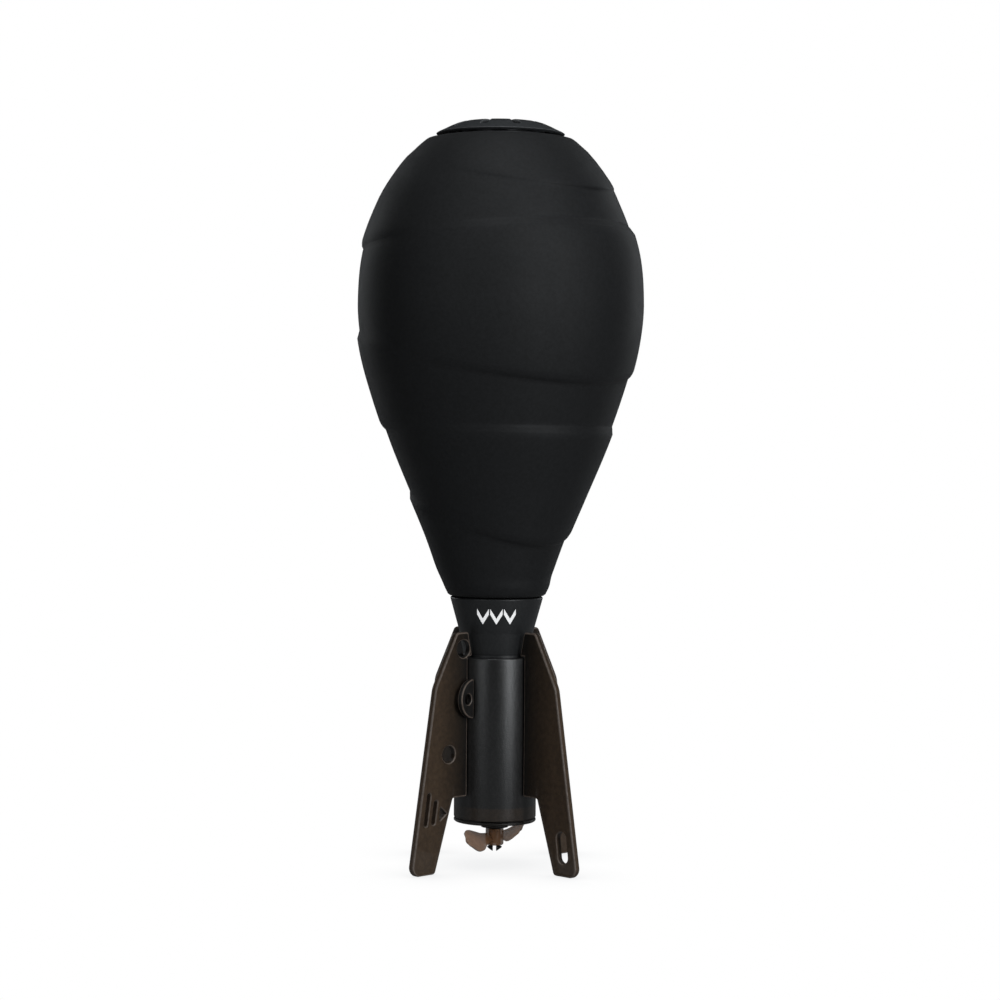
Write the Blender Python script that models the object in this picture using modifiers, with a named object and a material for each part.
"""Dust blower: a rubber bulb with a vent cap, stored nozzle-down in a stand with four fins.

The bulb's axis is the Z axis and the fins' feet stand on z = 0. The front is -Y. An azimuth is
counted in degrees from the front towards +X, and a height is a height above the feet.
Sizes are in millimetres, and each point is scaled by MM when its mesh or curve is made.
"""
import math

import bmesh
import bpy
from mathutils import Matrix, Vector

MM = 0.001
MERGE = 0.00001
GAP = 0.3

# Bulb
BULB_OUTLINE = (
    (58.6, 10.4), (60.2, 11.24), (63.2, 12.37), (71.0, 15.15), (78.8, 18.4), (91.8, 23.76),
    (104.8, 28.14), (113.0, 30.09), (121.7, 30.86), (133.0, 29.78), (143.8, 25.9), (150.3, 21.99),
    (154.2, 18.86), (155.9, 16.94), (156.7, 15.93), (156.95, 15.4),
)
BAND_EDGES = (
    (150.7, -3.6, -3.9), (135.6, 1.8, 1.9), (110.8, -4.5, -4.3), (94.8, 0.2, -0.1), (76.1, -4.3, -4.3),
)
LEDGE_HEIGHT = 1.9
BAND_RISE = 0.45
BAND_RISE_AZIMUTH = 55.0
BULB_WALL = 3.1
BULB_BOTTOM = 58.6
BULB_TOP = 156.95
RIM_R = 15.0
SHOULDER_DROP = 0.8
HEEL_RISE = 1.6
BAND_FADE = 1.5
FINE_RING_GAP = 2.0
RING_GAP = 5.0
MOUTH_R = 11.5
MOUTH_STEP = 1.5
NECK_BORE_R = 6.9
INNER_HEIGHTS = (72.0, 82.0, 92.0, 103.0, 112.0, 122.0, 133.0, 142.0)

# Neck
COLLAR_R = 10.1
COLLAR_TOP = 58.3
COLLAR_KNEE = (8.0, 50.7)
SLOT_WIDTH = 1.4
NOZZLE_TOP = 47.1

# Stand
TUBE_R = 8.9
TUBE_BORE_R = 7.5
TUBE_BOTTOM = 10.5
TUBE_TOP = 45.5
LINER_BOTTOM = 13.3
VENT_RING_R = 4.7
VENT_R = 1.1
FIN_THICKNESS = 1.5
FIN_TOP = 51.05
FIN_TIP_R = 12.25
FIN_BEND = (18.2, 39.6)
FIN_NOTCH = 15.75
FOOT_OUTER_R = 24.9
FOOT_INNER_R = 18.4
FIN_AZIMUTHS = {"front_left": -45.0, "front_right": 45.0, "rear_left": -135.0, "rear_right": 135.0}
FIN_CHAMFER = 0.35
TAB_AZIMUTH = -34.0
TAB_HEIGHT = 36.85
TAB_REACH = 4.4
TAB_HALF_CHORD = 4.2
TAB_THICKNESS = 1.2
TAB_HOLE_R = 1.2
TAB_HOLE_REACH = 2.3

# Rotor
SPLIT_WIDTH = 0.7
HUB_R = 1.95
HUB_BORE_R = 1.3
HUB_TOP = 7.9
HUB_BOTTOM = 4.3
BLADE_AZIMUTH = -34.0
BLADE_PITCH = 52.0
BLADE_THICKNESS = 0.55
BLADE_CENTRE = 6.35
BLADE_OUTLINE = (
    (1.6, -0.9), (4.4, -1.1), (8.2, -2.5), (10.4, -1.3), (9.6, 1.5), (7.4, 2.85), (4.6, 1.7), (1.6, 0.9),
)

# Cap and valves
CAP_R = 13.9
CAP_TOP = 160.6
CAP_SLOTS = 10
FIRST_SLOT_AZIMUTH = 18.0
SLOT_START = 5.2
SLOT_END = 11.9
SLOT_HALF_WIDTHS = (0.5, 0.9)
INTAKE_RING_R = 5.2
INTAKE_HOLE_R = 1.4
SCREEN_RING_R = 5.6
SCREEN_HOLE_R = 1.3


def clear_scene():
    """Remove every object of the open scene."""
    for old in list(bpy.data.objects):
        bpy.data.objects.remove(old, do_unlink=True)


def new_collection(name):
    """A collection linked to the scene."""
    group = bpy.data.collections.new(name)
    bpy.context.scene.collection.children.link(group)
    return group


def new_material(name, colour, roughness, metallic=0.0):
    """A Principled material."""
    made = bpy.data.materials.new(name)
    made.use_nodes = True
    shader = made.node_tree.nodes["Principled BSDF"]
    shader.inputs["Base Color"].default_value = (*colour, 1.0)
    shader.inputs["Roughness"].default_value = roughness
    shader.inputs["Metallic"].default_value = metallic
    made.diffuse_color = (*colour, 1.0)
    return made


def place(name, data, material, group):
    """An object of a mesh or curve, in a collection, with one material."""
    made = bpy.data.objects.new(name, data)
    if material is not None:
        data.materials.append(material)
    group.objects.link(made)
    return made


def screw_mesh(profile, segments, closed):
    """The mesh of a profile of (radius, height) points turned about Z.

    A closed profile is a ring's section. An open one starts and ends on the axis.
    """
    data = bpy.data.meshes.new("profile")
    count = len(profile)
    points = [(r * MM, 0.0, z * MM) for r, z in profile]
    edges = [(i, i + 1) for i in range(count - 1)]
    if closed:
        edges.append((count - 1, 0))
    data.from_pydata(points, edges, [])
    guide = bpy.data.objects.new("profile", data)
    bpy.context.scene.collection.objects.link(guide)
    turn = guide.modifiers.new("turn", "SCREW")
    turn.angle = math.tau
    turn.steps = segments
    turn.render_steps = segments
    turn.use_merge_vertices = True
    turn.merge_threshold = MERGE
    return bake(guide)


def bake(source):
    """The evaluated mesh of an object with its seams welded; the object is removed."""
    bpy.context.view_layer.update()
    graph = bpy.context.evaluated_depsgraph_get()
    data = bpy.data.meshes.new_from_object(source.evaluated_get(graph))
    data.transform(source.matrix_world)
    bpy.data.objects.remove(source, do_unlink=True)
    work = bmesh.new()
    work.from_mesh(data)
    bmesh.ops.remove_doubles(work, verts=work.verts, dist=MERGE)
    work.to_mesh(data)
    work.free()
    return data


def smooth(data, angle=35.0):
    """Smooth shading with sharp edges kept."""
    data.shade_smooth()
    data.set_sharp_from_angle(angle=math.radians(angle))


def turned(name, profile, material, group, segments=36, closed=True):
    """A turned piece about the Z axis."""
    data = screw_mesh(profile, segments, closed)
    data.materials.clear()
    smooth(data)
    return place(name, data, material, group)


def plate_mesh(outline, thickness, spline_type="POLY", resolution=1):
    """A plate from an outline in the XY plane, centred on z = 0."""
    curve = bpy.data.curves.new("outline", "CURVE")
    curve.dimensions = "2D"
    curve.fill_mode = "BOTH"
    curve.extrude = thickness * MM / 2
    curve.resolution_u = resolution
    spline = curve.splines.new(spline_type)
    if spline_type == "BEZIER":
        spline.bezier_points.add(len(outline) - 1)
        for point, (x, y) in zip(spline.bezier_points, outline):
            point.co = (x * MM, y * MM, 0.0)
            point.handle_left_type = "AUTO"
            point.handle_right_type = "AUTO"
    else:
        spline.points.add(len(outline) - 1)
        for point, (x, y) in zip(spline.points, outline):
            point.co = (x * MM, y * MM, 0.0, 1.0)
    spline.use_cyclic_u = True
    guide = bpy.data.objects.new("outline", curve)
    bpy.context.scene.collection.objects.link(guide)
    return bake(guide)


def rounded(corners, steps=3):
    """An outline whose corners (x, y, radius) are arcs."""
    outline = []
    count = len(corners)
    for index, (x, y, radius) in enumerate(corners):
        here = Vector((x, y))
        before = (Vector(corners[index - 1][:2]) - here).normalized()
        after = (Vector(corners[(index + 1) % count][:2]) - here).normalized()
        if radius == 0:
            outline.append((x, y))
            continue
        half = before.angle(after) / 2
        centre = here + (before + after).normalized() * (radius / math.sin(half))
        start = here + before * (radius / math.tan(half)) - centre
        end = here + after * (radius / math.tan(half)) - centre
        for step in range(steps + 1):
            bow = start.lerp(end, step / steps).normalized() * radius
            outline.append(tuple(centre + bow))
    return outline


def cutter(name, data, group):
    """A hidden object that a Boolean reads."""
    made = place(name, data, None, group)
    made.hide_render = True
    made.display_type = "WIRE"
    return made


def boolean(target, tool, operation="DIFFERENCE"):
    """Cut or join with an exact Boolean."""
    step = target.modifiers.new(tool.name, "BOOLEAN")
    step.object = tool
    step.operation = operation
    step.solver = "EXACT"


def ring_of_pins(name, count, radius, pin_radius, low, high, group, first=0.0):
    """One cutter of several upright pins on a circle."""
    work = bmesh.new()
    for index in range(count):
        angle = math.radians(first) + math.tau * index / count
        centre = Vector((radius * math.cos(angle), radius * math.sin(angle), (low + high) / 2)) * MM
        bmesh.ops.create_cone(
            work, cap_ends=True, segments=8, radius1=pin_radius * MM, radius2=pin_radius * MM,
            depth=(high - low) * MM, matrix=Matrix.Translation(centre),
        )
    data = bpy.data.meshes.new(name)
    work.to_mesh(data)
    work.free()
    return cutter(name, data, group)


def block(name, size, centre, group, turn=0.0):
    """A box cutter, turned about Z."""
    work = bmesh.new()
    bmesh.ops.create_cube(work, size=1.0)
    data = bpy.data.meshes.new(name)
    work.to_mesh(data)
    work.free()
    data.transform(Matrix.Diagonal((size[0] * MM, size[1] * MM, size[2] * MM, 1.0)))
    data.transform(Matrix.Translation(Vector(centre) * MM))
    data.transform(Matrix.Rotation(math.radians(turn), 4, "Z"))
    return cutter(name, data, group)


def to_azimuth(azimuth):
    """The rotation about Z that carries +X to an azimuth."""
    return Matrix.Rotation(math.radians(azimuth - 90.0), 4, "Z")


def bulb_radius(height):
    """The bulb's outer radius on a smooth curve through its outline."""
    points = BULB_OUTLINE
    last = len(points) - 1
    index = max(i for i in range(last) if i == 0 or points[i][0] <= height)

    def slope(i):
        low = max(i - 1, 0)
        high = min(i + 1, last)
        return (points[high][1] - points[low][1]) / (points[high][0] - points[low][0])

    z0, r0 = points[index]
    z1, r1 = points[index + 1]
    span = z1 - z0
    t = min(max((height - z0) / span, 0.0), 1.0)
    start = (2 * t ** 3 - 3 * t ** 2 + 1) * r0 + (t ** 3 - 2 * t ** 2 + t) * span * slope(index)
    end = (3 * t ** 2 - 2 * t ** 3) * r1 + (t ** 3 - t ** 2) * span * slope(index + 1)
    return start + end


def band_tilt(height):
    """Forward and rightward tilt of a level of the bulb, between the band edges."""
    levels = [(BULB_TOP - SHOULDER_DROP, 0.0, 0.0), *BAND_EDGES, (BULB_BOTTOM + HEEL_RISE, 0.0, 0.0)]
    for above, below in zip(levels, levels[1:]):
        if below[0] <= height <= above[0]:
            share = (height - below[0]) / (above[0] - below[0])
            return [low + (high - low) * share for low, high in zip(below[1:], above[1:])]
    return [0.0, 0.0]


def band_rise(height):
    """How far a level stands out on the bands' proud side; it changes sign at each edge."""
    if not BULB_BOTTOM + BAND_FADE < height < BULB_TOP - BAND_FADE:
        return 0.0
    rise = BAND_RISE
    for edge, _, _ in BAND_EDGES:
        step = min(max((edge - height) / LEDGE_HEIGHT + 0.5, 0.0), 1.0)
        rise *= 1.0 - 2.0 * step
    return rise


def bulb_levels():
    """Heights of the bulb's rings, from the top rim to the bottom."""
    edges = [edge for edge, _, _ in BAND_EDGES]
    stops = [BULB_TOP - SHOULDER_DROP]
    for edge in edges:
        stops += [edge + LEDGE_HEIGHT / 2, edge - LEDGE_HEIGHT / 2]
    stops.append(BULB_BOTTOM + HEEL_RISE)
    levels = []
    for above, below in zip(stops, stops[1:]):
        spacing = FINE_RING_GAP if above > edges[0] + LEDGE_HEIGHT else RING_GAP
        pieces = max(1, round((above - below) / spacing))
        levels += [above + (below - above) * i / pieces for i in range(pieces)]
    levels.append(stops[-1])
    return levels


def make_bulb(material, group):
    """Hollow rubber bulb: a turned wall, then its bands' tilted edges."""
    mouth_floor = BULB_TOP - 0.8
    outer = [(MOUTH_R + MOUTH_STEP, BULB_TOP), (RIM_R, BULB_TOP)]
    outer += [(bulb_radius(z), z) for z in bulb_levels()]
    outer += [(BULB_OUTLINE[0][1] - 0.25, BULB_BOTTOM), (NECK_BORE_R, BULB_BOTTOM)]
    inner = [(NECK_BORE_R, 63.0), (9.0, 66.0)]
    inner += [(bulb_radius(z) - BULB_WALL, z) for z in INNER_HEIGHTS]
    inner += [(17.9, 149.7), (15.2, 152.0), (MOUTH_R, 152.85)]
    inner += [(MOUTH_R, mouth_floor), (MOUTH_R + MOUTH_STEP, mouth_floor)]
    data = screw_mesh(outer + inner, 48, True)
    data.materials.clear()
    for vertex in data.vertices:
        x, y, z = (value / MM for value in vertex.co)
        radius = math.hypot(x, y)
        on_outside = radius > bulb_radius(z) - 1.0 and BULB_BOTTOM + 0.9 < z < BULB_TOP - 0.5
        if not on_outside:
            continue
        azimuth = math.atan2(x, -y)
        forward, rightward = band_tilt(z)
        level = z + forward * math.cos(azimuth) + rightward * math.sin(azimuth)
        lean = math.cos(azimuth - math.radians(BAND_RISE_AZIMUTH))
        grown = bulb_radius(level) + band_rise(z) * lean
        vertex.co = Vector((x * grown / radius, y * grown / radius, level)) * MM
    smooth(data, 50.0)
    return place("bulb", data, material, group)


def make_neck(materials, group, cutters):
    """The collar under the bulb, its spigot, the outlet valve and the nozzle."""
    collar = [
        (6.7, COLLAR_TOP), (COLLAR_R, COLLAR_TOP), COLLAR_KNEE, (7.2, 46.3), (7.1, 45.9), (7.1, 38.3),
        (6.8, 38.0), (3.8, 38.0), (3.8, 45.7), (5.5, 45.7), (5.5, 49.1), (6.7, 49.1),
    ]
    turned("neck_collar", collar, materials["black_plastic"], group, 32)
    spigot = [
        (4.6, 66.6), (6.5, 66.6), (7.6, 65.2), (7.6, 64.4), (6.4, 63.2), (6.4, 50.9), (4.6, 50.9),
    ]
    turned("bulb_spigot", spigot, materials["black_plastic"], group, 24)
    seat = [(2.8, 50.6), (6.4, 50.6), (6.4, 49.4), (2.8, 49.4)]
    turned("outlet_valve_seat", seat, materials["grey_plastic"], group, 24)
    disc = [(0.0, 49.1), (4.3, 49.1), (4.3, 48.3), (1.2, 48.3), (1.0, 47.95), (0.0, 47.95)]
    turned("outlet_valve_disc", disc, materials["valve_rubber"], group, 24, closed=False)
    nozzle = [
        (2.2, NOZZLE_TOP), (5.2, NOZZLE_TOP), (5.2, 46.0), (3.4, 46.0), (3.4, 38.0), (2.9, 26.0),
        (2.1, 15.0), (1.8, 14.5), (1.1, 14.5), (1.5, 26.0), (2.2, 38.0),
    ]
    tube = turned("nozzle", nozzle, materials["black_plastic"], group, 24)
    centre = (0, 0, NOZZLE_TOP - 0.1)
    boolean(tube, block("nozzle_slot_x", (9.0, SLOT_WIDTH, 1.0), centre, cutters))
    boolean(tube, block("nozzle_slot_y", (SLOT_WIDTH, 9.0, 1.0), centre, cutters))


def make_intake(materials, group, cutters):
    """The vent in the bulb's top mouth: housing, valve, screen, filter and cap."""
    housing = [
        (9.8, 157.35), (12.7, 157.35), (12.7, 156.45), (11.2, 156.45), (11.2, 152.45), (12.2, 151.85),
        (11.2, 149.85), (11.2, 148.25), (1.5, 148.25), (1.5, 149.45), (9.8, 149.45),
    ]
    cup = turned("intake_housing", housing, materials["grey_plastic"], group, 28)
    floor_holes = ring_of_pins("intake_holes", 6, INTAKE_RING_R, INTAKE_HOLE_R, 147.75, 149.95, cutters)
    boolean(cup, floor_holes)
    valve = [
        (0.0, 151.35), (1.0, 151.35), (2.1, 150.65), (1.2, 150.45), (1.2, 147.95), (7.8, 147.95),
        (8.0, 147.45), (2.2, 146.95), (0.0, 146.95),
    ]
    turned("intake_valve_disc", valve, materials["valve_rubber"], group, 20, closed=False)
    screen = [(0.0, 152.25), (9.4, 152.25), (9.4, 151.75), (0.0, 151.75)]
    mesh = turned("filter_screen", screen, materials["steel_mesh"], group, 24, closed=False)
    boolean(mesh, ring_of_pins("screen_holes", 8, SCREEN_RING_R, SCREEN_HOLE_R, 151.25, 152.75, cutters))
    pad = [(0.0, 155.55), (9.0, 155.55), (9.3, 155.25), (9.3, 152.85), (9.0, 152.55), (0.0, 152.55)]
    turned("filter_pad", pad, materials["foam"], group, 24, closed=False)
    dome = [
        (0.0, CAP_TOP), (5.0, CAP_TOP), (7.0, 160.5), (9.1, 160.15), (11.2, 159.2), (12.9, 158.4),
        (CAP_R, 157.95), (CAP_R, 157.65), (12.9, 157.65), (11.2, 158.3), (9.5, 158.95), (9.5, 155.95),
        (8.6, 155.95), (8.6, 159.2), (6.9, 159.5), (5.0, 159.6), (0.0, 159.6),
    ]
    cap = turned("vent_cap", dome, materials["black_plastic"], group, 36, closed=False)
    boolean(cap, cap_slots(cutters))


def cap_slots(cutters):
    """One cutter of radial slots, each wider at its outer end."""
    work = bmesh.new()
    near, far = SLOT_HALF_WIDTHS
    outline = rounded([
        (SLOT_START, -near, 0.4), (SLOT_END, -far, 0.8), (SLOT_END, far, 0.8), (SLOT_START, near, 0.4),
    ], 1)
    for index in range(CAP_SLOTS):
        data = plate_mesh(outline, 3.6)
        azimuth = FIRST_SLOT_AZIMUTH + 360.0 / CAP_SLOTS * index
        data.transform(to_azimuth(azimuth) @ Matrix.Translation((0, 0, (CAP_TOP - 0.9) * MM)))
        work.from_mesh(data)
        bpy.data.meshes.remove(data)
    data = bpy.data.meshes.new("cap_slots")
    work.to_mesh(data)
    work.free()
    return cutter("cap_slots", data, cutters)


def fin_outline():
    """A fin's outline as (radius, height), with its root clear of the tube."""
    root = TUBE_R + GAP
    return rounded([
        (root, FIN_NOTCH, 0), (root, TUBE_TOP + GAP, 0), (7.9, TUBE_TOP + GAP, 0), (9.1, FIN_TOP, 0.4),
        (FIN_TIP_R, FIN_TOP, 1.0), (*FIN_BEND, 6.0), (FOOT_OUTER_R, 0.0, 2.0), (FOOT_INNER_R, 0.0, 0.9),
        (13.3, FIN_NOTCH, 0.5),
    ])


def upright(azimuth):
    """Carries a plate drawn as (radius, height) to an upright plane at an azimuth."""
    return to_azimuth(azimuth) @ Matrix.Rotation(math.radians(90.0), 4, "X")


def fin_holes(outlines, azimuth, name, cutters):
    """One cutter of several through holes in a fin."""
    work = bmesh.new()
    for outline in outlines:
        data = plate_mesh(outline, FIN_THICKNESS + 1.0)
        work.from_mesh(data)
        bpy.data.meshes.remove(data)
    data = bpy.data.meshes.new(name)
    work.to_mesh(data)
    work.free()
    data.transform(upright(azimuth))
    return cutter(name, data, cutters)


def circle(x, y, radius, count=16):
    """A round outline."""
    turns = [math.tau * i / count for i in range(count)]
    return [(x + radius * math.cos(a), y + radius * math.sin(a)) for a in turns]


def obround(top, bottom, width):
    """A slot's outline between the centres of its two round ends."""
    along = (Vector(top) - Vector(bottom)).normalized() * (width / 2)
    side = Vector((along.y, -along.x))
    corners = [
        Vector(bottom) - along - side, Vector(bottom) - along + side,
        Vector(top) + along + side, Vector(top) + along - side,
    ]
    return rounded([(corner.x, corner.y, width * 0.495) for corner in corners])


def make_fins(material, group, cutters):
    """Four fins; the front two have holes."""
    outline = fin_outline()
    signal_holes = [
        circle(10.5, 47.5, 1.93),
        circle(14.6, 25.2, 1.87),
        obround((20.25, 16.9), (21.2, 10.9), 1.0),
        obround((18.3, 15.2), (19.0, 11.1), 1.1),
        rounded([(17.2, 11.2, 0.15), (17.0, 14.3, 0.15), (15.1, 12.7, 0.15)], 2),
    ]
    lanyard_hole = [obround((20.6, 8.1), (21.1, 4.15), 2.75)]
    holes = {"front_left": signal_holes, "front_right": lanyard_hole}
    for side, azimuth in FIN_AZIMUTHS.items():
        data = plate_mesh(outline, FIN_THICKNESS)
        data.transform(upright(azimuth))
        fin = place("fin_" + side, data, material, group)
        chamfer = fin.modifiers.new("chamfer", "BEVEL")
        chamfer.width = FIN_CHAMFER * MM
        chamfer.segments = 1
        chamfer.limit_method = "ANGLE"
        chamfer.angle_limit = math.radians(60.0)
        if side in holes:
            boolean(fin, fin_holes(holes[side], azimuth, "holes_" + side, cutters))


def make_stand(materials, group, cutters):
    """The tube with its liner and end cap."""
    tube = [
        (TUBE_BORE_R, TUBE_TOP), (TUBE_R - 0.3, TUBE_TOP), (TUBE_R, TUBE_TOP - 0.3),
        (TUBE_R, TUBE_BOTTOM + 0.2), (TUBE_R - 0.2, TUBE_BOTTOM), (TUBE_BORE_R, TUBE_BOTTOM),
    ]
    turned("stand_tube", tube, materials["smoked_plastic"], group, 40)
    liner = [(6.6, 37.6), (7.2, 37.6), (7.2, LINER_BOTTOM), (6.6, LINER_BOTTOM)]
    turned("tube_liner", liner, materials["black_plastic"], group, 28)
    flange = TUBE_BOTTOM - GAP
    cap = [
        (6.2, 12.6), (7.2, 12.6), (7.2, flange), (TUBE_R, flange), (TUBE_R, 9.8), (8.7, 9.6),
        (3.0, 9.6), (3.0, 8.2), (1.3, 8.2), (1.3, flange), (6.2, flange),
    ]
    end = turned("end_cap", cap, materials["smoked_plastic"], group, 32)
    boolean(end, ring_of_pins("end_vents", 6, VENT_RING_R, VENT_R, 9.0, 10.8, cutters, 30.0))


def make_tab(material, group, cutters):
    """The half-disc eyelet on the tube."""
    root = TUBE_R + GAP
    outline = [(root, TAB_HEIGHT - TAB_HALF_CHORD)]
    for index in range(11):
        turn = math.radians(-75 + 15 * index)
        outline.append((root + TAB_REACH * math.cos(turn), TAB_HEIGHT + TAB_HALF_CHORD * math.sin(turn)))
    outline.append((root, TAB_HEIGHT + TAB_HALF_CHORD))
    data = plate_mesh(outline, TAB_THICKNESS)
    data.transform(upright(TAB_AZIMUTH))
    tab = place("lanyard_tab", data, material, group)
    hole = circle(TUBE_R + TAB_HOLE_REACH, TAB_HEIGHT, TAB_HOLE_R)
    boolean(tab, fin_holes([hole], TAB_AZIMUTH, "tab_hole", cutters))


def make_axle(material, group, cutters):
    """Split snap pin: a head in the end cap, a shaft and two barbed points."""
    pin = [
        (0.0, 11.6), (2.2, 11.6), (2.2, 10.5), (1.0, 10.5), (1.0, 4.0), (1.65, 3.95), (1.5, 3.65),
        (0.6, 3.0), (0.0, 3.0),
    ]
    axle = turned("rotor_axle", pin, material, group, 18, closed=False)
    boolean(axle, block("axle_split", (SPLIT_WIDTH, 5.0, 6.0), (0, 0, 3.0), cutters))


def make_propeller(material, group):
    """Two pitched blades on a hub, one body, with its origin on its axis."""
    pivot = bpy.data.objects.new("rotor_pivot", None)
    group.objects.link(pivot)
    hub = [
        (HUB_BORE_R, HUB_TOP), (HUB_R, HUB_TOP), (HUB_R, HUB_BOTTOM + 0.3), (HUB_R - 0.3, HUB_BOTTOM),
        (HUB_BORE_R, HUB_BOTTOM),
    ]
    data = screw_mesh(hub, 24, True)
    data.materials.clear()
    smooth(data)
    propeller = place("propeller", data, material, group)
    propeller.parent = pivot
    for index in range(2):
        blade = plate_mesh(BLADE_OUTLINE, BLADE_THICKNESS, "BEZIER", 3)
        pitch = Matrix.Rotation(math.radians(-BLADE_PITCH), 4, "X")
        lift = Matrix.Translation((0, 0, BLADE_CENTRE * MM))
        blade.transform(lift @ to_azimuth(BLADE_AZIMUTH + 180.0 * index) @ pitch)
        tool = place(f"blade_{index}", blade, None, bpy.data.collections["cutters"])
        tool.hide_render = True
        tool.display_type = "WIRE"
        boolean(propeller, tool, "UNION")
    return propeller


def main():
    """Build every piece."""
    clear_scene()
    parts = new_collection("dust_blower")
    cutters = new_collection("cutters")
    materials = {
        "rubber": new_material("bulb_rubber", (0.020, 0.021, 0.023), 0.62),
        "valve_rubber": new_material("valve_rubber", (0.045, 0.045, 0.048), 0.55),
        "black_plastic": new_material("black_plastic", (0.022, 0.023, 0.025), 0.45),
        "grey_plastic": new_material("grey_plastic", (0.12, 0.12, 0.125), 0.5),
        "smoked_plastic": new_material("smoked_plastic", (0.060, 0.045, 0.034), 0.38),
        "foam": new_material("filter_foam", (0.32, 0.33, 0.34), 0.95),
        "steel_mesh": new_material("steel_screen", (0.55, 0.55, 0.56), 0.35, 1.0),
        "axle_plastic": new_material("axle_plastic", (0.018, 0.018, 0.019), 0.4),
        "rotor_plastic": new_material("rotor_plastic", (0.17, 0.13, 0.10), 0.3),
    }
    make_bulb(materials["rubber"], parts)
    make_neck(materials, parts, cutters)
    make_intake(materials, parts, cutters)
    make_stand(materials, parts, cutters)
    make_tab(materials["smoked_plastic"], parts, cutters)
    make_fins(materials["smoked_plastic"], parts, cutters)
    make_axle(materials["axle_plastic"], parts, cutters)
    make_propeller(materials["rotor_plastic"], parts)


main()
